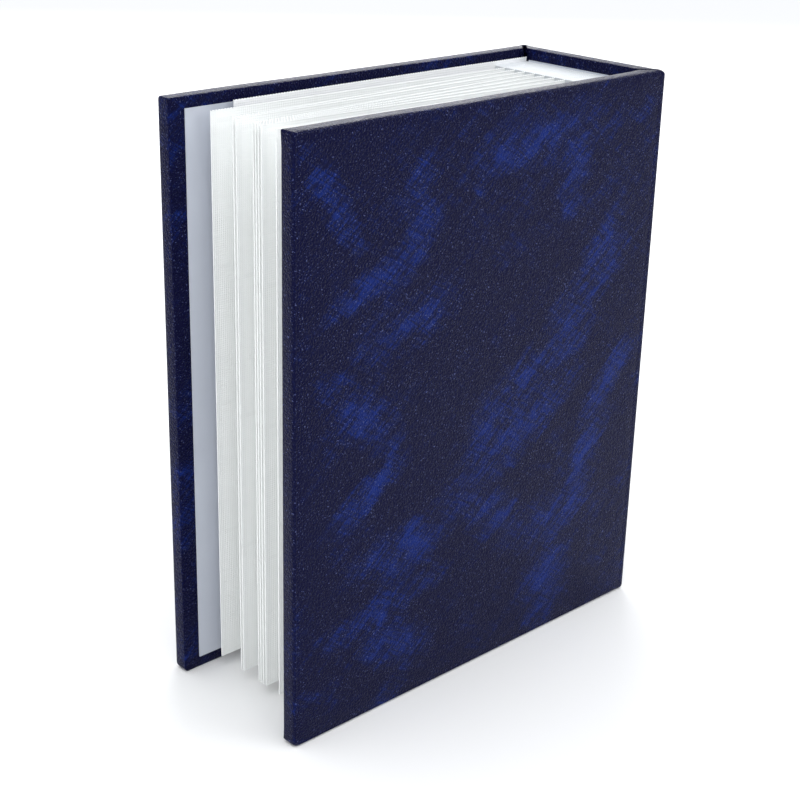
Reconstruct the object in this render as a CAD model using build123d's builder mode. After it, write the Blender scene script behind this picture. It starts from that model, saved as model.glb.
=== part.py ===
"""Pocket coin album: a padded, square-backed case that holds ten pocket leaves.

The album stands on its bottom edges. +Z is up, the spine faces +X, the fore-edge
faces -X, the back cover faces -Y and the front cover faces +Y. The origin is the
middle of the bottom of the closed album. All sizes are in millimetres.
"""

import math
import os

from build123d import *

# The case, measured over its leatherette
album_height = 148
album_depth = 121
album_thickness = 49

# The layers of a cover and of the spine, from the outside in
leatherette = 0.6
padding = 1.4
board = 1.9
paper = 0.25
edge_radius = 1.8
turn_in = 15
spine_turn_in = 5

# The joints: cover and spine meet in a wedge that closes at the outer corner
wedge_half_angle = 6
tip_relief = 0.7

# How far the white paper stays inside the leatherette
paper_head_inset = 3.0
paper_fore_inset = 4.5
paper_joint_inset = 0.8

# The leaf block
leaf_count = 10
leaf_height = 141.6
leaf_bottom = 3.0
leaf_fore_inset = 9.0
backing_film = 0.3
pocket_film = 0.25
spacer_width = 12
block_clearance = 0.5

# The bend line of each leaf, in front of the spacers
bend_ahead = 0.8
bound_edge_gap = 0.15
leaf_edge_gap = 0.3

# Where each leaf's fore-edge stands, as a share of the room between the pastedowns
leaf_fan = [0.086, 0.294, 0.322, 0.476, 0.501, 0.526, 0.551, 0.684, 0.785, 0.891]

# The pockets: rows of film strips welded to the backing film, open at the top
pocket_rows = 4
pocket_gutter_margin = 4.0
pocket_fore_margin = 1.0
pocket_head_margin = 2.5
pocket_foot_margin = 0.8
pocket_mouth = 2.0

# The flyleaf: a narrower, slightly taller film sheet against the front cover
flyleaf_fore_inset = 17.0
flyleaf_extra_height = 1.2
flyleaf_film = 0.3
flyleaf_fan = 1.5

# Places worked out from the sizes
spine_x = album_depth / 2
fore_x = -album_depth / 2
back_y = -album_thickness / 2
case_thickness = leatherette + padding + board + leatherette
board_outside = leatherette + padding
board_inside = board_outside + board
paper_inside = case_thickness + paper
mitre = math.radians(45 + wedge_half_angle)
joint_run = case_thickness * math.tan(mitre)

os.makedirs("parts", exist_ok=True)


def save(piece, name):
    """Labels a finished piece and writes its STEP file."""
    piece.part.label = name
    export_step(piece.part, f"parts/{name}.step")


def slab(x_low, x_high, y_low, y_high, z_low, z_high, mode=Mode.ADD):
    """Adds a rectangular slab to the current part, or cuts it away."""
    with BuildSketch(Plane.XY.offset(z_low)) as footprint:
        with Locations(((x_low + x_high) / 2, (y_low + y_high) / 2)):
            Rectangle(x_high - x_low, y_high - y_low)
    extrude(footprint.sketch, amount=z_high - z_low, mode=mode)


def cover_shape(inset):
    """The back cover's outer form, or what is left of it a skin's thickness inside."""
    mitre_normal = Vector(math.cos(mitre), math.sin(mitre), 0)
    mitre_point = Vector(spine_x, back_y, 0) - mitre_normal * inset
    with BuildPart() as shape:
        slab(
            fore_x + inset, spine_x + inset,
            back_y + inset, back_y + case_thickness - inset,
            inset, album_height - inset,
        )
        outer_edges = faces().sort_by(Axis.Y)[0].edges().sort_by(Axis.X)[:-1]
        corner_edges = edges().filter_by(Axis.Y).sort_by(Axis.X)[:2]
        fillet(outer_edges + corner_edges, radius=edge_radius - inset)
        split(bisect_by=Plane(origin=mitre_point, z_dir=mitre_normal), keep=Keep.BOTTOM)
        tip = Plane(origin=(spine_x - tip_relief, 0, 0), z_dir=(1, 0, 0))
        split(bisect_by=tip, keep=Keep.BOTTOM)
    return shape.part


def spine_shape(inset):
    """The spine's outer form, or what is left of it a skin's thickness inside."""
    with BuildPart() as shape:
        slab(
            spine_x - case_thickness + inset, spine_x - inset,
            back_y, -back_y,
            inset, album_height - inset,
        )
        end_edges = faces().sort_by(Axis.X)[-1].edges().filter_by(Axis.Y)
        fillet(end_edges, radius=edge_radius - inset)
        for side in (-1, 1):
            mitre_normal = Vector(-math.sin(mitre), side * math.cos(mitre), 0)
            mitre_point = Vector(spine_x, side * -back_y, 0) - mitre_normal * inset
            mitre_plane = Plane(origin=mitre_point, z_dir=mitre_normal)
            tip = Plane(origin=(0, side * (-back_y - tip_relief), 0), z_dir=(0, side, 0))
            for cut in (mitre_plane, tip):
                split(bisect_by=cut, keep=Keep.BOTTOM)
    return shape.part


# Back cover. The leatherette wraps the padded board on every side and turns in over
# its inner face, which leaves a window that the pastedown sinks into.
window_x = (fore_x + turn_in, spine_x - joint_run - turn_in)
window_z = (turn_in, album_height - turn_in)
back_board_y = back_y + board_inside
back_skin_y = back_y + case_thickness

with BuildPart() as back_cover_leatherette:
    add(cover_shape(0))
    add(cover_shape(leatherette), mode=Mode.SUBTRACT)
    slab(*window_x, back_board_y, back_skin_y, *window_z, mode=Mode.SUBTRACT)

padding_plane = Plane(origin=(0, back_y + board_outside, 0), z_dir=(0, 1, 0))

with BuildPart() as back_cover_padding:
    add(cover_shape(leatherette))
    split(bisect_by=padding_plane, keep=Keep.BOTTOM)

with BuildPart() as back_cover_board:
    add(cover_shape(leatherette))
    split(bisect_by=padding_plane, keep=Keep.TOP)

with BuildPart() as back_cover_pastedown:
    slab(
        fore_x + paper_fore_inset, spine_x - joint_run - paper_joint_inset,
        back_skin_y, back_skin_y + paper,
        paper_head_inset, album_height - paper_head_inset,
    )
    slab(*window_x, back_board_y, back_skin_y, *window_z)
    slab(
        window_x[0] + paper, window_x[1] - paper,
        back_board_y + paper, back_skin_y + paper,
        window_z[0] + paper, window_z[1] - paper,
        mode=Mode.SUBTRACT,
    )

# The front cover is the back cover's mirror image.
cover_layers = {
    "leatherette": back_cover_leatherette,
    "padding": back_cover_padding,
    "board": back_cover_board,
    "pastedown": back_cover_pastedown,
}
for layer, back_piece in cover_layers.items():
    save(back_piece, f"back_cover_{layer}")
    with BuildPart() as front_piece:
        mirror(back_piece.part, about=Plane.XZ)
    save(front_piece, f"front_cover_{layer}")

# Spine, made in the same layers as the covers.
spine_board_x = spine_x - board_inside
spine_skin_x = spine_x - case_thickness
spine_half = -back_y - joint_run
spine_window_y = (-spine_half + spine_turn_in, spine_half - spine_turn_in)

with BuildPart() as spine_leatherette:
    add(spine_shape(0))
    add(spine_shape(leatherette), mode=Mode.SUBTRACT)
    slab(spine_skin_x, spine_board_x, *spine_window_y, *window_z, mode=Mode.SUBTRACT)
save(spine_leatherette, "spine_leatherette")

spine_padding_plane = Plane(origin=(spine_x - board_outside, 0, 0), z_dir=(1, 0, 0))

with BuildPart() as spine_padding:
    add(spine_shape(leatherette))
    split(bisect_by=spine_padding_plane, keep=Keep.TOP)
save(spine_padding, "spine_padding")

with BuildPart() as spine_board:
    add(spine_shape(leatherette))
    split(bisect_by=spine_padding_plane, keep=Keep.BOTTOM)
save(spine_board, "spine_board")

# The lining fills the window flush, because the block is glued flat against it.
lining_half = spine_half - paper_joint_inset
with BuildPart() as spine_lining:
    slab(
        spine_skin_x - paper, spine_skin_x, -lining_half, lining_half,
        paper_head_inset, album_height - paper_head_inset,
    )
    slab(spine_skin_x, spine_board_x, *spine_window_y, *window_z)
save(spine_lining, "spine_lining")

# Leaf block. Spacers and the leaves' bound edges alternate across the spine, from
# the flyleaf at the front cover to the last spacer at the back cover.
block_back_x = spine_x - paper_inside
block_face_x = block_back_x - spacer_width
bend_x = block_face_x - bend_ahead
front_paper_y = -back_y - paper_inside
block_front_y = front_paper_y - block_clearance
block_run = 2 * block_front_y
leaf_top = leaf_bottom + leaf_height
spacer_count = leaf_count + 1
spacer = (block_run - flyleaf_film - leaf_count * backing_film) / spacer_count
flyleaf_top = leaf_top + flyleaf_extra_height


def bound_edge(y_high, film, top):
    """The strip of a leaf's own film that is glued in between two spacers."""
    with BuildPart() as edge:
        slab(
            bend_x + bound_edge_gap, block_back_x,
            y_high - film, y_high, leaf_bottom, top,
        )
    return edge


def leaf_plane(bend_y, fore_y, fore_inset):
    """The plane of a leaf at rest: x runs to the fore-edge, y up and z to the front."""
    run = bend_x - (fore_x + fore_inset)
    return Plane(
        origin=(bend_x, bend_y, leaf_bottom),
        x_dir=(-run, fore_y - bend_y, 0),
        z_dir=(fore_y - bend_y, run, 0),
    )


save(bound_edge(block_front_y, flyleaf_film, flyleaf_top), "flyleaf_bound_edge")
flyleaf_y = block_front_y - flyleaf_film / 2
flyleaf_plane = leaf_plane(flyleaf_y, front_paper_y - flyleaf_fan, flyleaf_fore_inset)
flyleaf_width = bend_x - fore_x - flyleaf_fore_inset - leaf_edge_gap

with BuildPart() as flyleaf:
    with BuildSketch(flyleaf_plane):
        with Locations((leaf_edge_gap, 0)):
            Rectangle(
                flyleaf_width, leaf_height + flyleaf_extra_height,
                align=(Align.MIN, Align.MIN),
            )
    extrude(amount=flyleaf_film / 2, both=True)
save(flyleaf, "flyleaf_sheet")

leaf_width = bend_x - fore_x - leaf_fore_inset - leaf_edge_gap
pocket_width = leaf_width - pocket_gutter_margin - pocket_fore_margin
row_pitch = (leaf_height - pocket_head_margin - pocket_foot_margin) / pocket_rows
pocket_height = row_pitch - pocket_mouth

y_front = block_front_y - flyleaf_film
for number in range(1, spacer_count + 1):
    with BuildPart() as spacer_strip:
        slab(
            block_face_x, block_back_x, y_front - spacer, y_front,
            leaf_bottom, leaf_top,
        )
    save(spacer_strip, f"spacer_{number:02}")
    y_front -= spacer
    if number > leaf_count:
        break

    save(bound_edge(y_front, backing_film, leaf_top), f"leaf_{number:02}_bound_edge")
    bend_y = y_front - backing_film / 2
    y_front -= backing_film
    fore_y = front_paper_y * (1 - 2 * leaf_fan[number - 1])
    plane = leaf_plane(bend_y, fore_y, leaf_fore_inset)

    with BuildPart() as backing:
        with BuildSketch(plane):
            with Locations((leaf_edge_gap, 0)):
                Rectangle(leaf_width, leaf_height, align=(Align.MIN, Align.MIN))
        extrude(amount=backing_film / 2, both=True)
    save(backing, f"leaf_{number:02}_backing_film")

    with BuildPart() as pockets:
        with BuildSketch(plane.offset(backing_film / 2)):
            for row in range(pocket_rows):
                row_foot = pocket_foot_margin + row * row_pitch
                with Locations((leaf_edge_gap + pocket_gutter_margin, row_foot)):
                    Rectangle(pocket_width, pocket_height, align=(Align.MIN, Align.MIN))
        extrude(amount=pocket_film)
    save(pockets, f"leaf_{number:02}_pocket_strips")

print(f"spacer {spacer:.2f}, bend line x {bend_x:.2f}, block front y {block_front_y:.2f}")
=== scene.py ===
import math

import bpy
from mathutils import Matrix, Vector, noise


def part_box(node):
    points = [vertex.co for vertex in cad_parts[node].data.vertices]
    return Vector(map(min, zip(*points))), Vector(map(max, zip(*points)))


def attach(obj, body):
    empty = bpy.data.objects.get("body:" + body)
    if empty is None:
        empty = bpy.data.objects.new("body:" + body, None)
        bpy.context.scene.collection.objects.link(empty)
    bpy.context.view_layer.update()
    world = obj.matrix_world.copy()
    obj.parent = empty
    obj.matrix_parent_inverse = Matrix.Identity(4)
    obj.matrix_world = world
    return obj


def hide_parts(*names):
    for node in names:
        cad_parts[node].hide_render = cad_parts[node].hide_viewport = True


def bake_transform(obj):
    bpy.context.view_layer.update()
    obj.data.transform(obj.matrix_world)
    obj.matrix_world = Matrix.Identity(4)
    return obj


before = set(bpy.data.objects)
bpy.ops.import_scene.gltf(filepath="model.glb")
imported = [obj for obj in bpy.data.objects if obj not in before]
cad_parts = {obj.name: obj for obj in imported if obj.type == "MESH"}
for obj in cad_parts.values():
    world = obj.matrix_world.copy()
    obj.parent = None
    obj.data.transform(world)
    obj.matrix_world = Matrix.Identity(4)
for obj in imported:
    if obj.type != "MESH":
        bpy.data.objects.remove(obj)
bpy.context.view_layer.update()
MM = 0.001


# ---------------------------------------------------------------------------------
# The leatherette: a vinyl-coated cloth, printed with a marbled cloud pattern in
# brighter blue and embossed with a fine pebble grain. The print gives soft wisps
# that run up to the right, and the grain breaks every reflection into fine sparks,
# to which painted glints on its highest points are added.

# The grain is drawn a little coarser than the real one, so that it shows
grain_size = 0.85 * MM
grain_depth = 0.14 * MM
streak_slant = 38
streak_depth = 14 * MM
faint_strength = 0.35
back_cover_reach = 10 * MM

# The stronger streaks of the print: place along X and up Z from the middle of a cover,
# half length and half width in millimetres, and slant up to the right in degrees.
streaks = [
    (-50, 58, 17, 5, -58),
    (-24, 50, 18, 8, 82),
    (-37, 38, 18, 5, 24),
    (17, 63, 30, 9, 4),
    (28, 56, 16, 7, 86),
    (40, 28, 21, 9, 52),
    (28, 12, 15, 11, 50),
    (8, -1, 27, 9, 36),
    (47, -6, 18, 6, 48),
    (40, -25, 22, 8, 80),
    (10, -14, 30, 8, 30),
    (1, -30, 22, 8, -30),
    (26, -40, 23, 9, 3),
    (26, -58, 18, 12, 84),
    (-41, 6, 20, 8, -42),
    (-39, -14, 18, 5, 28),
    (-28, -33, 20, 9, 6),
    (-33, -46, 24, 6, 9),
    (-30, -56, 18, 9, -36),
    (-27, 26, 20, 8, 14),
]


def linear(colour):
    """An sRGB hex colour as the linear red, green, blue and alpha of a socket."""
    values = [int(colour[i : i + 2], 16) / 255 for i in (1, 3, 5)]
    straight = [
        v / 12.92 if v <= 0.04045 else ((v + 0.055) / 1.055) ** 2.4 for v in values
    ]
    return straight + [1]


def new_material(name, colour, **constants):
    """A material with its colour and other constants set on the shader's sockets."""
    material = bpy.data.materials.new(name)
    material.use_nodes = True
    shader = material.node_tree.nodes["Principled BSDF"]
    shader.inputs["Base Color"].default_value = linear(colour)
    for socket, value in constants.items():
        shader.inputs[socket.replace("_", " ")].default_value = value
    return material, shader


def add_node(material, kind, inputs, **settings):
    """Adds a node; each input takes a value, a socket, or a node's first output."""
    node = material.node_tree.nodes.new(kind)
    for name, value in settings.items():
        setattr(node, name, value)
    for socket, source in inputs.items():
        if isinstance(source, bpy.types.Node):
            source = source.outputs[0]
        if isinstance(source, bpy.types.NodeSocket):
            material.node_tree.links.new(source, node.inputs[socket])
        else:
            node.inputs[socket].default_value = source
    return node


leatherette, shader = new_material(
    "marbled_leatherette", "#0C0C2E", IOR=1.5, Roughness=0.4, Specular_IOR_Level=0.1
)
shader.inputs["Specular Tint"].default_value = linear("#A4B4F4")
place = add_node(leatherette, "ShaderNodeTexCoord", {}).outputs["Object"]


def stretched_noise(length, width, slant, detail, distortion, seed):
    """Noise drawn out along a slant in the covers' plane; its sizes in millimetres."""
    mapping = add_node(
        leatherette, "ShaderNodeMapping",
        {
            "Vector": place,
            "Location": (seed, seed, 0),
            "Rotation": (0, math.radians(-slant), 0),
            "Scale": (length * MM, width * MM, width * MM),
        },
        vector_type="TEXTURE",
    )
    return add_node(
        leatherette, "ShaderNodeTexNoise",
        {
            "Vector": mapping, "Scale": 1, "Detail": detail, "Roughness": 0.6,
            "Distortion": distortion,
        },
    )


spine_low, spine_high = (Vector(c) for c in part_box("spine_leatherette"))
back_low, back_high = (Vector(c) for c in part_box("back_cover_leatherette"))
front_low, front_high = (Vector(c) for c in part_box("front_cover_leatherette"))
album_height = back_high.z
cover_middle = Vector((0, back_low.y, album_height / 2))

# Faint streaks: the ridges of two crossing noises, within broad clouds, and stronger
# away from the back cover
clouds = add_node(
    leatherette, "ShaderNodeMapRange",
    {
        "Value": stretched_noise(60, 40, streak_slant, 1, 0, 0.31),
        "From Min": 0.42, "From Max": 0.62,
    },
    interpolation_type="SMOOTHSTEP",
)
ridges = []
for slant, seed in ((streak_slant + 14, 0.13), (streak_slant - 62, 0.47)):
    band = stretched_noise(70, 24, slant, 2, 0.6, seed)
    offset = add_node(
        leatherette, "ShaderNodeMath", {0: band, 1: 0.5}, operation="SUBTRACT"
    )
    distance = add_node(
        leatherette, "ShaderNodeMath", {0: offset}, operation="ABSOLUTE"
    )
    ridges.append(
        add_node(
            leatherette, "ShaderNodeMapRange",
            {"Value": distance, "From Min": 0.075, "From Max": 0},
            interpolation_type="SMOOTHSTEP",
        )
    )
both_ridges = add_node(
    leatherette, "ShaderNodeMath", {0: ridges[0], 1: ridges[1]}, operation="MAXIMUM"
)
place_y = add_node(leatherette, "ShaderNodeSeparateXYZ", {0: place}).outputs["Y"]
away = add_node(
    leatherette, "ShaderNodeMapRange",
    {"Value": place_y, "From Min": back_low.y + back_cover_reach, "From Max": 0},
    interpolation_type="SMOOTHSTEP",
)
strength = add_node(
    leatherette, "ShaderNodeMath", {0: away, 1: faint_strength, 2: faint_strength},
    operation="MULTIPLY_ADD",
)
strength = add_node(
    leatherette, "ShaderNodeMath", {0: clouds, 1: strength}, operation="MULTIPLY"
)
streak_field = add_node(
    leatherette, "ShaderNodeMath", {0: both_ridges, 1: strength}, operation="MULTIPLY"
)

# The listed streaks lie over them, each strongest in its middle
for across, up, length, width, slant in streaks:
    mapping = add_node(
        leatherette, "ShaderNodeMapping",
        {
            "Vector": place,
            "Location": cover_middle + Vector((across, 0, up)) * MM,
            "Rotation": (0, math.radians(-slant), 0),
            "Scale": (length * MM, streak_depth, width * MM),
        },
        vector_type="TEXTURE",
    )
    spot = add_node(
        leatherette, "ShaderNodeTexGradient", {"Vector": mapping},
        gradient_type="SPHERICAL",
    )
    streak = add_node(
        leatherette, "ShaderNodeMath", {0: spot.outputs["Fac"], 1: 0.45},
        operation="POWER",
    )
    streak_field = add_node(
        leatherette, "ShaderNodeMath", {0: streak_field, 1: streak}, operation="MAXIMUM"
    )

# Ragged edges and fine crossing strands break the streaks up into wisps
ragged = stretched_noise(22, 8, streak_slant, 6, 1.2, 0.17)
strands = stretched_noise(12, 1.0, streak_slant, 4, 1.4, 0.05)
cross_strands = stretched_noise(10, 1.0, streak_slant - 70, 4, 1.4, 0.09)
for breaking, amount in ((ragged, 2.4), (strands, 2.6), (cross_strands, 2.0)):
    offset = add_node(
        leatherette, "ShaderNodeMath", {0: breaking, 1: 0.5}, operation="SUBTRACT"
    )
    streak_field = add_node(
        leatherette, "ShaderNodeMath", {0: offset, 1: amount, 2: streak_field},
        operation="MULTIPLY_ADD",
    )
marbling = add_node(
    leatherette, "ShaderNodeMapRange",
    {"Value": streak_field, "From Min": 0.1, "From Max": 1.6},
    interpolation_type="SMOOTHSTEP",
)
tint = add_node(leatherette, "ShaderNodeValToRGB", {"Fac": marbling})
tint.color_ramp.elements[0].color = linear("#0B0B2B")
tint.color_ramp.elements[1].color = linear("#12266B")
middle_tint = tint.color_ramp.elements.new(0.4)
middle_tint.color = linear("#0C1440")

# Pebbles with valleys between them, crossed by a few hair-fine creases of the cloth
cell_edges = add_node(
    leatherette, "ShaderNodeTexVoronoi",
    {"Vector": place, "Scale": 1 / grain_size, "Randomness": 1},
    feature="DISTANCE_TO_EDGE",
)
pebbles = add_node(
    leatherette, "ShaderNodeMapRange",
    {"Value": cell_edges.outputs["Distance"], "From Min": 0, "From Max": 0.3},
    interpolation_type="SMOOTHSTEP",
)
fine = add_node(
    leatherette, "ShaderNodeTexNoise",
    {"Vector": place, "Scale": 2.3 / grain_size, "Detail": 2},
)
hair = stretched_noise(34, 7, streak_slant - 4, 1, 0, 0.77)
offset = add_node(
    leatherette, "ShaderNodeMath", {0: hair, 1: 0.5}, operation="SUBTRACT"
)
distance = add_node(leatherette, "ShaderNodeMath", {0: offset}, operation="ABSOLUTE")
crease = add_node(
    leatherette, "ShaderNodeMapRange",
    {"Value": distance, "From Min": 0.005, "From Max": 0},
    interpolation_type="SMOOTHSTEP",
)
height = pebbles
for relief, amount in ((fine, 0.5), (crease, 0.4)):
    height = add_node(
        leatherette, "ShaderNodeMath", {0: relief, 1: amount, 2: height},
        operation="MULTIPLY_ADD",
    )
grain = add_node(
    leatherette, "ShaderNodeBump",
    {"Strength": 0.8, "Distance": grain_depth, "Height": height},
)
leatherette.node_tree.links.new(grain.outputs[0], shader.inputs["Normal"])

# Painted glints on the grain's highest points, and the ragged print is uneven in gloss
painted_glints = add_node(
    leatherette, "ShaderNodeMapRange",
    {"Value": fine, "From Min": 0.6, "From Max": 0.68},
    interpolation_type="SMOOTHSTEP",
)
for share in (pebbles, 0.6):
    painted_glints = add_node(
        leatherette, "ShaderNodeMath", {0: painted_glints, 1: share}, operation="MULTIPLY"
    )
# Pale specks mixed into the print colour: painted highlights that stand in for sparks
# of light
glint_tint = add_node(
    leatherette, "ShaderNodeMix", {0: painted_glints, 6: tint, 7: linear("#6A74A8")},
    data_type="RGBA",
)
leatherette.node_tree.links.new(glint_tint.outputs[2], shader.inputs["Base Color"])
gloss = add_node(
    leatherette, "ShaderNodeMapRange", {"Value": ragged, "To Min": 0.3, "To Max": 0.48}
)
leatherette.node_tree.links.new(gloss.outputs[0], shader.inputs["Roughness"])


# ---------------------------------------------------------------------------------
# Leatherette of the two covers: each is glued over a foam pad and a grey board, and
# its edges are turned in over the board's inner face, round a window that the
# pastedown sinks into. The foam makes the outer face and its edges soft.

skin = 0.55 * MM
edge_radius, edge_segments = 1.2 * MM, 5
inner_radius, inner_segments = 0.4 * MM, 2
head_corner_radius, foot_corner_radius, corner_segments = 0.5 * MM, 1.2 * MM, 4
tip_radius, tip_segments = 0.7 * MM, 2
window_inset = 13 * MM
cell = 4 * MM
near = 1e-6

# The cushion falls off towards the edges, and stays calm near the spine. A point
# within outer_skin of the outer plane belongs to the outer face.
cushion = 0.3 * MM
cushion_reach = 5 * MM
head_waviness = 0.25 * MM
waves_per_metre = 40
calm_reach = 4 * MM
calm_length = 15 * MM
outer_skin = 0.1 * MM

# The ends at the spine are mitred, with a wedge left open between them
wedge_half_angle = 6
case_thickness = back_high.y - back_low.y
joint_run = case_thickness * math.tan(math.radians(45 + wedge_half_angle))


def add_grid(name, across, up):
    """A flat sheet of unit size, lying in the middle of the scene."""
    bpy.ops.object.select_all(action="DESELECT")
    bpy.ops.mesh.primitive_grid_add(
        x_subdivisions=across, y_subdivisions=up, size=1, calc_uvs=False
    )
    piece = bpy.context.object
    piece.name = piece.data.name = name
    return piece


def apply_modifier(piece, kind, **settings):
    """Adds a modifier and applies it at once."""
    modifier = piece.modifiers.new(kind, kind)
    for name, value in settings.items():
        setattr(modifier, name, value)
    bpy.ops.object.select_all(action="DESELECT")
    piece.select_set(True)
    bpy.context.view_layer.objects.active = piece
    bpy.ops.object.modifier_apply(modifier=modifier.name)


def bevel_edges(piece, chosen, width, segments):
    """Rounds the edges whose two ends pass the test."""
    bpy.ops.object.mode_set(mode="EDIT")
    bpy.ops.mesh.select_mode(type="EDGE")
    bpy.ops.mesh.select_all(action="DESELECT")
    bpy.ops.object.mode_set(mode="OBJECT")
    points = piece.data.vertices
    for edge in piece.data.edges:
        edge.select = chosen(*(points[i].co for i in edge.vertices))
    bpy.ops.object.mode_set(mode="EDIT")
    bpy.ops.mesh.bevel(
        offset=width, segments=segments, affect="EDGES", clamp_overlap=False
    )
    bpy.ops.object.mode_set(mode="OBJECT")


def delete_faces(piece, chosen):
    """Deletes the faces whose middle passes the test."""
    bpy.ops.object.mode_set(mode="EDIT")
    bpy.ops.mesh.select_mode(type="FACE")
    bpy.ops.mesh.select_all(action="DESELECT")
    bpy.ops.object.mode_set(mode="OBJECT")
    for face in piece.data.polygons:
        face.select = chosen(face.center)
    bpy.ops.object.mode_set(mode="EDIT")
    bpy.ops.mesh.delete(type="FACE")
    bpy.ops.object.mode_set(mode="OBJECT")


def smooth(piece, material, angle=40):
    """Smooths a piece's shading up to an angle and gives it its material."""
    bpy.ops.object.select_all(action="DESELECT")
    piece.select_set(True)
    bpy.context.view_layer.objects.active = piece
    bpy.ops.object.shade_smooth_by_angle(angle=math.radians(angle))
    piece.data.materials.clear()
    piece.data.materials.append(material)


def between(a, b, test):
    """Whether both ends of an edge pass a test."""
    return test(a) and test(b)


def soften_cushion(piece, outward, low, high, outer):
    """Lets the outer face fall towards its edges, and the head edge wave a little."""
    for vertex in piece.data.vertices:
        point = vertex.co
        calm = min(1, max(0, high.x - calm_reach - point.x) / calm_length)
        border = min(point.z - low.z, high.z - point.z, point.x - low.x)
        if abs((point - outer).dot(outward)) < outer_skin:
            point -= outward * calm * cushion * math.exp(-border / cushion_reach)
        if high.z - point.z < edge_radius:
            wave = 0.5 + 0.5 * noise.noise(point * waves_per_metre)
            point.z -= calm * head_waviness * wave


def wrap_cover(name, node, low, high, side):
    """Wraps a cover's board; side is the direction of its outer face along Y."""
    outer_y = low.y if side < 0 else high.y
    inner_y = outer_y - side * case_thickness
    size = high - low
    piece = add_grid(name, round(size.x / cell), round(size.z / cell))
    for vertex in piece.data.vertices:
        across, up = vertex.co.x + 0.5, vertex.co.y + 0.5
        vertex.co = (low.x + across * size.x, outer_y, low.z + up * size.z)

    # The solidified sheet is the whole cover, and its inner end is cut to the mitre
    piece.data.update()
    if piece.data.polygons[0].normal.y * side < 0:
        piece.data.flip_normals()
    apply_modifier(piece, "SOLIDIFY", thickness=case_thickness, offset=-1)
    for vertex in piece.data.vertices:
        if abs(vertex.co.x - high.x) < near and abs(vertex.co.y - inner_y) < near:
            vertex.co.x = spine_high.x - joint_run

    def border_edge(a, b, face_y):
        return between(a, b, lambda p: abs(p.y - face_y) < near) and any(
            between(a, b, lambda p, axis=axis, limit=limit: abs(p[axis] - limit) < near)
            for axis, limit in ((2, low.z), (2, high.z), (0, low.x))
        )

    def outer_edge(a, b):
        return border_edge(a, b, outer_y)

    bevel_edges(piece, outer_edge, edge_radius, edge_segments)

    for end, radius in ((low.z, foot_corner_radius), (high.z, head_corner_radius)):

        def corner_edge(a, b, end=end):
            def on_mitre(p):
                depth = abs(p.z - end)
                inset = p.x - low.x
                return inset < edge_radius + near and abs(inset - depth) < near

            return between(a, b, on_mitre) and abs(a.y - b.y) > near

        bevel_edges(piece, corner_edge, radius, corner_segments)

    def inner_edge(a, b):
        return border_edge(a, b, inner_y)

    bevel_edges(piece, inner_edge, inner_radius, inner_segments)

    def tip_edge(a, b):
        def on_tip(p):
            depth = abs(p.y - outer_y)
            run = depth * joint_run / case_thickness
            return depth < edge_radius + near and abs(high.x - run - p.x) < near

        return between(a, b, on_tip)

    bevel_edges(piece, tip_edge, tip_radius, tip_segments)

    # The window is opened in the inner face before the shell gets its thickness
    inner_end = spine_high.x - joint_run
    delete_faces(
        piece,
        lambda c: abs(c.y - inner_y) < near
        and low.x + window_inset < c.x < inner_end - window_inset
        and low.z + window_inset < c.z < high.z - window_inset,
    )
    apply_modifier(piece, "SOLIDIFY", thickness=skin, offset=-1)
    soften_cushion(piece, Vector((0, side, 0)), low, high, Vector((0, outer_y, 0)))
    smooth(piece, leatherette)
    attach(piece, node.replace("_leatherette", ""))
    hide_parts(node)


wrap_cover("back_cover_wrap", "back_cover_leatherette", back_low, back_high, -1)
wrap_cover("front_cover_wrap", "front_cover_leatherette", front_low, front_high, 1)


# ---------------------------------------------------------------------------------
# Leatherette of the spine: the same sheet over a third padded board, turned in at
# head and tail and pressed down into the joints at both sides.

spine_window_inset = 3 * MM
spine_width = spine_high.y - spine_low.y
piece = add_grid("spine_wrap", round(spine_width / cell), round(album_height / cell))
for vertex in piece.data.vertices:
    across, up = vertex.co.x + 0.5, vertex.co.y + 0.5
    y = spine_low.y + across * spine_width
    vertex.co = (spine_high.x, y, up * album_height)
piece.data.update()
if piece.data.polygons[0].normal.x < 0:
    piece.data.flip_normals()
apply_modifier(piece, "SOLIDIFY", thickness=case_thickness, offset=-1)
spine_inner_x = spine_high.x - case_thickness
spine_inner_y = front_high.y - joint_run
for vertex in piece.data.vertices:
    at_side = abs(vertex.co.y) > spine_high.y - near
    if at_side and abs(vertex.co.x - spine_inner_x) < near:
        vertex.co.y = math.copysign(spine_inner_y, vertex.co.y)


def at_end(point):
    """Whether a point of the spine's slab is on its head or tail."""
    return point.z < near or album_height - point.z < near


def along_end(a, b, x):
    """Whether an edge runs along the head or tail, on the face at x."""
    on_face = between(a, b, lambda p: abs(p.x - x) < near and at_end(p))
    return on_face and abs(a.y - b.y) > near


def along_side(a, b):
    """Whether an edge runs along the outer tip of a mitre."""

    def on_tip(p):
        depth = spine_high.x - p.x
        run = depth * joint_run / case_thickness
        return depth < edge_radius + near and abs(spine_high.y - run - abs(p.y)) < near

    return between(a, b, on_tip) and a.y * b.y > 0


bevel_edges(
    piece, lambda a, b: along_end(a, b, spine_high.x), edge_radius, edge_segments
)
bevel_edges(
    piece, lambda a, b: along_end(a, b, spine_inner_x), inner_radius, inner_segments
)
bevel_edges(piece, along_side, tip_radius, tip_segments)
delete_faces(
    piece,
    lambda c: abs(c.x - spine_inner_x) < near
    and abs(c.y) < spine_inner_y - spine_window_inset
    and window_inset < c.z < album_height - window_inset,
)
apply_modifier(piece, "SOLIDIFY", thickness=skin, offset=-1)
smooth(piece, leatherette)
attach(piece, "spine")
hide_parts("spine_leatherette")


# ---------------------------------------------------------------------------------
# Joint folds: where the sheet of leatherette bends round the corner between a cover
# and the spine. The fold stands a little proud at the corner and lies flat on both
# boards.

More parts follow.
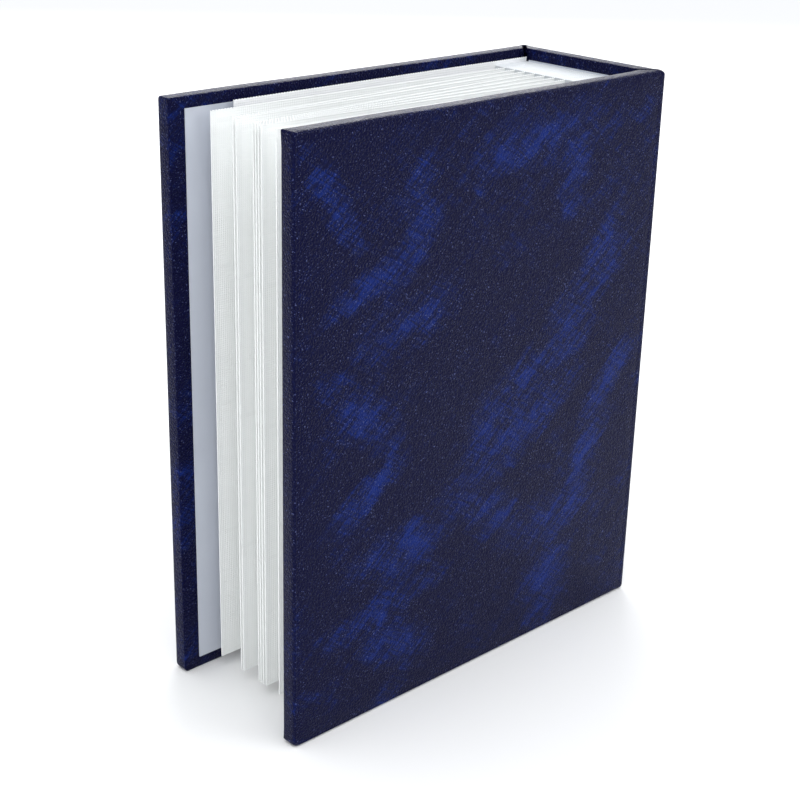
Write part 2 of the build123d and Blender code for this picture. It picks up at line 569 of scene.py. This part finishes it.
fold_radius = 0.8 * MM
fold_reach = 3.4 * MM
fold_lift = 0.08 * MM
fold_sink = 0.14 * MM
fold_end = math.radians(82)
fold_skin = 0.35 * MM
fold_columns = 20
bend_rows = 8
straight_rows = 30
fold_smooth_angle = 60


def joint_fold(name, corner_y, side):
    """Wraps a fold's strip round the corner at corner_y; side is the cover's side."""
    rows = 2 * bend_rows + straight_rows
    piece = add_grid(name, fold_columns, rows)
    straight = album_height - 2 * edge_radius
    bend = edge_radius * fold_end
    for vertex in piece.data.vertices:

        # Up the strip: a bend over the tail edge, a straight, and a bend over the head
        row = (vertex.co.y + 0.5) * rows - bend_rows
        beyond = min(0, row) + max(0, row - straight_rows)
        run = (row - beyond) * straight / straight_rows + beyond * bend / bend_rows
        tilt = min(0, run) / edge_radius + max(0, run - straight) / edge_radius
        inset = edge_radius * (1 - math.cos(tilt))
        rise = edge_radius * math.sin(tilt)

        # Across it: flat on the cover, round the corner, and flat on the spine
        arc = fold_radius * math.pi / 4
        along = vertex.co.x * 2 * fold_reach
        turn = math.pi / 4 * (1 + max(-1, min(1, along / arc)))
        normal = Vector((math.sin(turn), side * math.cos(turn), 0))
        depth = inset + fold_radius
        centre = Vector((spine_high.x - depth, corner_y - side * depth, 0))
        point = centre + normal * fold_radius
        if along < -arc:
            point.x += along + arc
        if along > arc:
            point.y -= side * (along - arc)
        point.z = edge_radius + max(0, min(straight, run)) + rise

        # Proud of the leatherette at the corner, and sunk into it at the strip's edges
        proud = fold_lift - (fold_lift + fold_sink) * (along / fold_reach) ** 2
        outward = normal * math.cos(tilt) + Vector((0, 0, math.sin(tilt)))
        vertex.co = point + outward * proud
    piece.data.update()
    middle = piece.data.polygons[len(piece.data.polygons) // 2]
    if middle.normal.dot(middle.center - Vector((0, 0, middle.center.z))) < 0:
        piece.data.flip_normals()
    apply_modifier(piece, "SOLIDIFY", thickness=fold_skin, offset=-1)
    smooth(piece, leatherette, fold_smooth_angle)
    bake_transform(piece)


joint_fold("back_joint_fold", back_low.y, -1)
joint_fold("front_joint_fold", front_high.y, 1)


# ---------------------------------------------------------------------------------
# Boards and padding: grey board made of waste paper, and a thin sheet of open
# foam on its outer side. Both are closed in by the leatherette.

fleck_size = 0.7 * MM
pore_size = 0.4 * MM
pore_depth = 0.1 * MM

greyboard, shader = new_material("greyboard", "#8F897E", Roughness=0.9)
place = add_node(greyboard, "ShaderNodeTexCoord", {}).outputs["Object"]
flecks = add_node(
    greyboard, "ShaderNodeTexNoise",
    {"Vector": place, "Scale": 1 / fleck_size, "Detail": 4},
)
tint = add_node(greyboard, "ShaderNodeValToRGB", {"Fac": flecks})
tint.color_ramp.elements[0].color = linear("#77726A")
tint.color_ramp.elements[1].color = linear("#A39C90")
greyboard.node_tree.links.new(tint.outputs["Color"], shader.inputs["Base Color"])

foam, shader = new_material("white_foam", "#E4E1D8", Roughness=0.95)
place = add_node(foam, "ShaderNodeTexCoord", {}).outputs["Object"]
cells = add_node(
    foam, "ShaderNodeTexVoronoi", {"Vector": place, "Scale": 1 / pore_size}
)
pores = add_node(
    foam, "ShaderNodeBump",
    {"Strength": 0.6, "Distance": pore_depth, "Height": cells.outputs["Distance"]},
)
foam.node_tree.links.new(pores.outputs[0], shader.inputs["Normal"])


def finish_node(name, material):
    """Gives a construction piece its material."""
    for material_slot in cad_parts[name].material_slots:
        material_slot.material = material


for part in ("front_cover", "back_cover", "spine"):
    finish_node(f"{part}_board", greyboard)
    finish_node(f"{part}_padding", foam)


# ---------------------------------------------------------------------------------
# Pastedowns and spine lining: uncoated white paper, glued down on the board and over
# the turned-in leatherette. Its edge stays inside the leatherette's, and the board
# shows through as a shallow step where the turn-ins end. The paper is given a grey blue
# colour rather than white: painted shade, for the shade that falls on it inside the
# album.

paper_thickness = 0.25 * MM
paper_smooth_angle = 30
fibre_size = 1.2 * MM
fibre_depth = 0.05 * MM
cloud_size = 25 * MM

# Grey blue rather than white: painted shade
paper, shader = new_material("white_endpaper_painted_shade", "#C3C8D2", Roughness=0.82)
place = add_node(paper, "ShaderNodeTexCoord", {}).outputs["Object"]
fibres = add_node(
    paper, "ShaderNodeTexNoise",
    {"Vector": place, "Scale": 1 / fibre_size, "Detail": 6, "Roughness": 0.7},
)
tooth = add_node(
    paper, "ShaderNodeBump",
    {"Strength": 0.25, "Distance": fibre_depth, "Height": fibres},
)
paper.node_tree.links.new(tooth.outputs[0], shader.inputs["Normal"])
clouds = add_node(
    paper, "ShaderNodeTexNoise", {"Vector": place, "Scale": 1 / cloud_size, "Detail": 3}
)
# Soft clouds of tone in the paper, both ends greyed by the same painted shade
tint = add_node(paper, "ShaderNodeValToRGB", {"Fac": clouds})
tint.color_ramp.elements[0].color = linear("#BCC1CC")
tint.color_ramp.elements[1].color = linear("#C9CED8")
paper.node_tree.links.new(tint.outputs["Color"], shader.inputs["Base Color"])

# The step's rows, from the edge inwards: each one's width and its share of the drop
step_drop = 0.34 * MM
step_rows = [(12.2 * MM, 0), (0.5 * MM, 0.12), (0.7 * MM, 0.76), (0.5 * MM, 0.12)]


def paste_down(name, node, body, side):
    """Lays a pastedown on a cover's inner face, which looks towards -side along Y."""
    low, high = (Vector(c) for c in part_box(node))
    size = high - low
    face_y = low.y if side > 0 else high.y
    bpy.ops.object.select_all(action="DESELECT")
    bpy.ops.mesh.primitive_plane_add(size=1, calc_uvs=False)
    piece = bpy.context.object
    piece.name = piece.data.name = name
    for vertex in piece.data.vertices:
        across, up = vertex.co.x + 0.5, vertex.co.y + 0.5
        vertex.co = (low.x + across * size.x, face_y, low.z + up * size.z)
    piece.data.update()
    if piece.data.polygons[0].normal.y * side > 0:
        piece.data.flip_normals()
    bpy.ops.object.mode_set(mode="EDIT")
    bpy.ops.mesh.select_mode(type="FACE")
    bpy.ops.mesh.select_all(action="SELECT")
    for width, share in step_rows:
        bpy.ops.mesh.inset(thickness=width, depth=-share * step_drop)
    bpy.ops.object.mode_set(mode="OBJECT")
    apply_modifier(piece, "SOLIDIFY", thickness=paper_thickness, offset=-1)
    smooth(piece, paper, paper_smooth_angle)
    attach(piece, body)
    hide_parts(node)


paste_down("back_pastedown", "back_cover_pastedown", "back_cover", -1)
paste_down("front_pastedown", "front_cover_pastedown", "front_cover", 1)
finish_node("spine_lining", paper)


# ---------------------------------------------------------------------------------
# Spacers: strips of white foamed PVC between the leaves' bound edges, guillotined
# flush with the leaves, so that the block is as thick at the spine as when filled.

bubble_size = 0.5 * MM
bubble_depth = 0.08 * MM

spacer_white, shader = new_material("foamed_pvc", "#D3D7DA", Roughness=0.6)
place = add_node(spacer_white, "ShaderNodeTexCoord", {}).outputs["Object"]
bubbles = add_node(
    spacer_white, "ShaderNodeTexNoise",
    {"Vector": place, "Scale": 1 / bubble_size, "Detail": 3},
)
surface = add_node(
    spacer_white, "ShaderNodeBump",
    {"Strength": 0.3, "Distance": bubble_depth, "Height": bubbles},
)
spacer_white.node_tree.links.new(surface.outputs[0], shader.inputs["Normal"])
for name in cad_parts:
    if name.startswith("spacer_"):
        finish_node(name, spacer_white)


# ---------------------------------------------------------------------------------
# Pocket leaves: frosted PVC film, embossed with a fine diamond mesh. Each leaf is a
# backing film with four strips welded on as three pockets a row, open at the top.
# Its head edge is cut by the toothed blade of the welding tool.

# The mesh is drawn a little coarser than the real one, so that it shows
mesh_pitch = 1.1 * MM
mesh_depth = 0.06 * MM
tooth_pitch = 0.84 * MM
tooth_depth = 0.22 * MM
film_rows = 16
film_smooth_angle = 30
leaf_sway = 0.45

# The welded strips: each pocket's pillow is full a third of the way up, and its mouth
# dips in the middle
strip_film = 0.14 * MM
strip_smooth_angle = 50
pocket_columns, pocket_rows = 3, 4
cells_across, cells_up = 10, 8
weld_width = 1.1 * MM
weld_sink = 0.2
pocket_mouth = 2 * MM
pocket_bulge = 0.2 * MM
bulge_fullness = 0.6
bulge_rise = 3
mouth_dip = 0.9 * MM


def film_material(name, colour, weld_colour, column, row, first_weld):
    """Frosted film: a diamond mesh, and weld seams at every column and row line."""
    material, shader = new_material(
        name, colour, Roughness=0.5, IOR=1.45, Specular_IOR_Level=0.3
    )
    uv = add_node(material, "ShaderNodeUVMap", {}, uv_map="UVMap")
    split = add_node(material, "ShaderNodeSeparateXYZ", {0: uv})
    across, up = split.outputs["X"], split.outputs["Y"]

    # Two sets of waves that cross at right angles emboss the mesh
    waves = []
    for crossing in ("ADD", "SUBTRACT"):
        slanted = add_node(
            material, "ShaderNodeMath", {0: across, 1: up}, operation=crossing
        )
        turns = add_node(
            material, "ShaderNodeMath", {0: slanted, 1: math.tau / mesh_pitch},
            operation="MULTIPLY",
        )
        waves.append(add_node(material, "ShaderNodeMath", {0: turns}, operation="SINE"))
    mesh = add_node(
        material, "ShaderNodeMath", {0: waves[0], 1: waves[1]}, operation="MULTIPLY"
    )

    # The welds press the mesh down along their lines
    seams = []
    lines = ((across, column, first_weld[0]), (up, row, first_weld[1]))
    for line, pitch, first in lines:
        past = add_node(
            material, "ShaderNodeMath", {0: line, 1: first}, operation="SUBTRACT"
        )
        away = add_node(
            material, "ShaderNodeMath", {0: past, 1: pitch / 2}, operation="PINGPONG"
        )
        seams.append(
            add_node(
                material, "ShaderNodeMath", {0: away, 1: weld_width / 2},
                operation="LESS_THAN",
            )
        )
    seam = add_node(
        material, "ShaderNodeMath", {0: seams[0], 1: seams[1]}, operation="MAXIMUM"
    )
    pressed = add_node(
        material, "ShaderNodeMath", {0: seam, 1: weld_sink}, operation="MULTIPLY"
    )
    height = add_node(
        material, "ShaderNodeMath", {0: mesh, 1: pressed}, operation="SUBTRACT"
    )
    relief = add_node(
        material, "ShaderNodeBump",
        {"Strength": 0.5, "Distance": mesh_depth, "Height": height},
    )
    material.node_tree.links.new(relief.outputs[0], shader.inputs["Normal"])
    tint = add_node(
        material, "ShaderNodeMix", {0: seam, 6: linear(colour), 7: linear(weld_colour)},
        data_type="RGBA",
    )
    material.node_tree.links.new(tint.outputs[2], shader.inputs["Base Color"])
    return material


def leaf_frame(leaf, film_node):
    """Where a leaf's film lies: its box, bend line and side-step to its fore-edge."""
    low, high = (Vector(c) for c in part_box(film_node))
    edge_low, edge_high = (Vector(c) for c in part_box(f"{leaf}_bound_edge"))
    bend_y = (edge_low.y + edge_high.y) / 2
    half_film = (edge_high.y - edge_low.y) / 2
    far_low, far_high = low.y + half_film - bend_y, high.y - half_film - bend_y
    return {
        "fore_x": low.x, "bend_x": (high.x + edge_low.x) / 2, "bound_x": edge_high.x,
        "foot": low.z, "head": high.z, "bend_y": bend_y, "film": 2 * half_film,
        "step": far_low if abs(far_low) > abs(far_high) else far_high,
    }


def leaf_y(leaf, x):
    """The film's place across the block, easing from the bend line to the fore-edge."""
    share = max(0, (leaf["bend_x"] - x) / (leaf["bend_x"] - leaf["fore_x"]))
    eased = share * share * (3 - 2 * share)
    return leaf["bend_y"] + leaf["step"] * (share + leaf_sway * (eased - share))


def set_uv(piece, leaf):
    """A flat UV map in metres: across from the bend line, and up from the foot."""
    layer = piece.data.uv_layers.new(name="UVMap")
    for loop in piece.data.loops:
        point = piece.data.vertices[loop.vertex_index].co
        layer.data[loop.index].uv = (leaf["bend_x"] - point.x, point.z - leaf["foot"])


def make_film(name, leaf, nodes, material):
    """A whole sheet of film, from bound edge to fore-edge, with a toothed head."""
    length = leaf["bound_x"] - leaf["fore_x"]
    teeth = round(length / tooth_pitch)
    piece = add_grid(name, 2 * teeth, film_rows)
    height = leaf["head"] - leaf["foot"]
    for vertex in piece.data.vertices:
        column = round((vertex.co.x + 0.5) * 2 * teeth)
        x = leaf["bound_x"] - column * length / (2 * teeth)
        z = leaf["foot"] + (vertex.co.y + 0.5) * height
        if leaf["head"] - z < near and column % 2:
            z -= tooth_depth
        vertex.co = (x, leaf_y(leaf, x), z)
    set_uv(piece, leaf)
    apply_modifier(piece, "SOLIDIFY", thickness=leaf["film"], offset=0)
    bpy.ops.object.mode_set(mode="EDIT")
    bpy.ops.mesh.select_all(action="SELECT")
    bpy.ops.mesh.normals_make_consistent(inside=False)
    bpy.ops.object.mode_set(mode="OBJECT")
    smooth(piece, material, film_smooth_angle)
    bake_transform(piece)
    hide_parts(*nodes)


def make_pockets(name, leaf, body, node, material):
    """Four strips of pockets on a leaf's front, pillowed between their welds."""
    low, high = (Vector(c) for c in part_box(node))
    row_pitch = (high.z - low.z + pocket_mouth) / pocket_rows
    strip_height = row_pitch - pocket_mouth
    above_film = leaf["film"] / 2 + strip_film / 2
    strips = []
    for row in range(pocket_rows):
        strip = add_grid(f"{name}_row", cells_across * pocket_columns, cells_up)
        for vertex in strip.data.vertices:
            across, up = vertex.co.x + 0.5, vertex.co.y + 0.5
            x = high.x - across * (high.x - low.x)
            arch = abs(math.sin(across * pocket_columns * math.pi))
            z = low.z + row * row_pitch + up * strip_height
            if 1 - up < near:
                z -= mouth_dip * arch
            swell = math.sin(min(1, bulge_rise * up) * math.pi / 2)
            bulge = pocket_bulge * arch ** bulge_fullness * swell
            vertex.co = (x, leaf_y(leaf, x) + (above_film + bulge), z)
        set_uv(strip, leaf)
        strips.append(strip)
    bpy.ops.object.select_all(action="DESELECT")
    for strip in strips:
        strip.select_set(True)
    piece = bpy.context.view_layer.objects.active = strips[0]
    bpy.ops.object.join()
    piece.name = piece.data.name = name
    apply_modifier(piece, "SOLIDIFY", thickness=strip_film, offset=0)
    bpy.ops.object.mode_set(mode="EDIT")
    bpy.ops.mesh.select_all(action="SELECT")
    bpy.ops.mesh.normals_make_consistent(inside=False)
    bpy.ops.object.mode_set(mode="OBJECT")
    smooth(piece, material, strip_smooth_angle)
    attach(piece, body)
    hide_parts(node)


first_leaf = leaf_frame("leaf_01", "leaf_01_backing_film")
strip_low, strip_high = (Vector(c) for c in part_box("leaf_01_pocket_strips"))
column_pitch = (strip_high.x - strip_low.x) / pocket_columns
row_pitch = (strip_high.z - strip_low.z + pocket_mouth) / pocket_rows
first_weld = (first_leaf["bend_x"] - strip_high.x, strip_low.z - first_leaf["foot"])
frosted_film = film_material(
    "frosted_pvc_film", "#FAFCFB", "#F7F9F8", column_pitch, row_pitch, first_weld
)
plain_film = film_material("plain_pvc_film", "#FAFBFC", "#FAFBFC", 1, 1, (-0.5, -0.5))

leaf_names = sorted(
    node.removesuffix("_backing_film")
    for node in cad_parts
    if node.endswith("_backing_film")
)
for leaf_name in leaf_names:
    film_node = f"{leaf_name}_backing_film"
    leaf = leaf_frame(leaf_name, film_node)
    nodes = (film_node, f"{leaf_name}_bound_edge")
    make_film(f"{leaf_name}_film", leaf, nodes, frosted_film)
    strips_node = f"{leaf_name}_pocket_strips"
    make_pockets(f"{leaf_name}_pockets", leaf, leaf_name, strips_node, frosted_film)


# ---------------------------------------------------------------------------------
# Flyleaf: one plain sheet of the same film between the front cover and the first
# leaf, narrower than the leaves and a little taller.

flyleaf = leaf_frame("flyleaf", "flyleaf_sheet")
flyleaf_nodes = ("flyleaf_sheet", "flyleaf_bound_edge")
make_film("flyleaf_film", flyleaf, flyleaf_nodes, plain_film)


# ---------------------------------------------------------------------------------
# The table: a large sheet of pale matt card, which throws soft light back on the
# album. It reaches out so far that it looks endless.

table_size = 24.0
bpy.ops.object.select_all(action="DESELECT")
bpy.ops.mesh.primitive_plane_add(size=table_size, location=(0, 0, 0))
table = bpy.context.object
table.name = "table"
card, shader = new_material("pale_card", "#FCFCFB", Roughness=0.9)
table.data.materials.append(card)


# ---------------------------------------------------------------------------------
# The light: a broad softbox overhead, one at each side in front, and a low one behind
# that draws a line of sheen along the head edges. Each has its place, its size and its
# power in watts.

softboxes = [
    ("overhead", (-0.1, -0.1, 0.9), 0.8, 1.8),
    ("front_left", (-0.8, -0.45, 0.16), 0.5, 2.6),
    ("front_right", (0.45, -0.8, 0.5), 0.35, 1.6),
    ("behind", (0.6, 0.7, 0.5), 0.5, 3.4),
]
middle = Vector((0, 0, album_height / 2))
for name, position, size, watts in softboxes:
    lamp = bpy.data.lights.new(name, "AREA")
    lamp.shape = "SQUARE"
    lamp.size = size
    lamp.energy = watts
    box = bpy.data.objects.new(name, lamp)
    aim = (middle - Vector(position)).to_track_quat("-Z", "Y").to_matrix().to_4x4()
    box.matrix_world = Matrix.Translation(position) @ aim
    bpy.context.collection.objects.link(box)

# The room: a bright ceiling over walls that are a sixth as bright
wall_light = 0.3
ceiling_light = 1.5
ceiling_falloff = 2
world = bpy.context.scene.world or bpy.data.worlds.new("studio")
bpy.context.scene.world = world
world.use_nodes = True
direction = add_node(world, "ShaderNodeTexCoord", {}).outputs["Generated"]
height = add_node(world, "ShaderNodeSeparateXYZ", {0: direction}).outputs["Z"]
upward = add_node(
    world, "ShaderNodeMath", {0: height, 1: ceiling_falloff},
    operation="POWER", use_clamp=True,
)
brightness = add_node(
    world, "ShaderNodeMath", {0: upward, 1: ceiling_light, 2: wall_light},
    operation="MULTIPLY_ADD",
)
background = world.node_tree.nodes["Background"]
background.inputs["Color"].default_value = linear("#F6F8FC")
world.node_tree.links.new(brightness.outputs[0], background.inputs["Strength"])
bpy.context.scene.view_settings.view_transform = "Standard"


# ---------------------------------------------------------------------------------
# The camera looks down on the fore-edge and the back cover. Its heading, dip and roll
# are in degrees, and its lens in millimetres on a 36 mm sensor.

camera_place = (-0.2574, -0.2659, 0.2161)
camera_heading = 43.37
camera_dip = 21.2
camera_roll = 1.43
camera_lens = 69.8
camera_sensor = 36
camera_shift = -0.03
camera = bpy.data.objects.new("camera", bpy.data.cameras.new("camera"))
camera.data.sensor_width = camera_sensor
camera.data.lens = camera_lens
camera.data.shift_y = camera_shift
turn = Matrix.Rotation(math.radians(-camera_heading), 4, "Z")
turn = turn @ Matrix.Rotation(math.radians(90 - camera_dip), 4, "X")
turn = turn @ Matrix.Rotation(math.radians(camera_roll), 4, "Z")
camera.matrix_world = Matrix.Translation(camera_place) @ turn
bpy.context.collection.objects.link(camera)
bpy.context.scene.camera = camera
